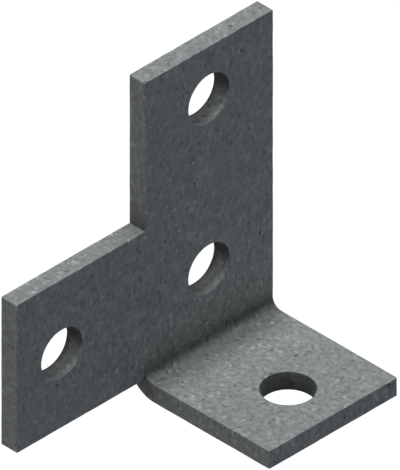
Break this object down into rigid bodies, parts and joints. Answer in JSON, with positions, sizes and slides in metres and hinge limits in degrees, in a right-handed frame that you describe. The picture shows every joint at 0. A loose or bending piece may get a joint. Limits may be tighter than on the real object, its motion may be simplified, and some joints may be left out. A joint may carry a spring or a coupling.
{
  "type": "strut angle fitting",
  "caption": "Three-armed angle fitting for strut channel: an upright with a wing beside it in one flat, and a flange folded forwards from its foot, with a bolt hole in each arm.",
  "frame": {"origin": "centre of the flange's bolt hole on the flange's underside", "axes": "+Z along the upright, out of the flange's upper side; the flange reaches along -Y and the wing along -X"},
  "size_m": [0.082, 0.0447, 0.087],
  "materials": {
    "galvanised_steel": "hot-dip galvanised, matt mottled zinc"
  },
  "bodies": {
    "root": {"strut_angle_fitting": "galvanised_steel"}
  },
  "joints": []
}
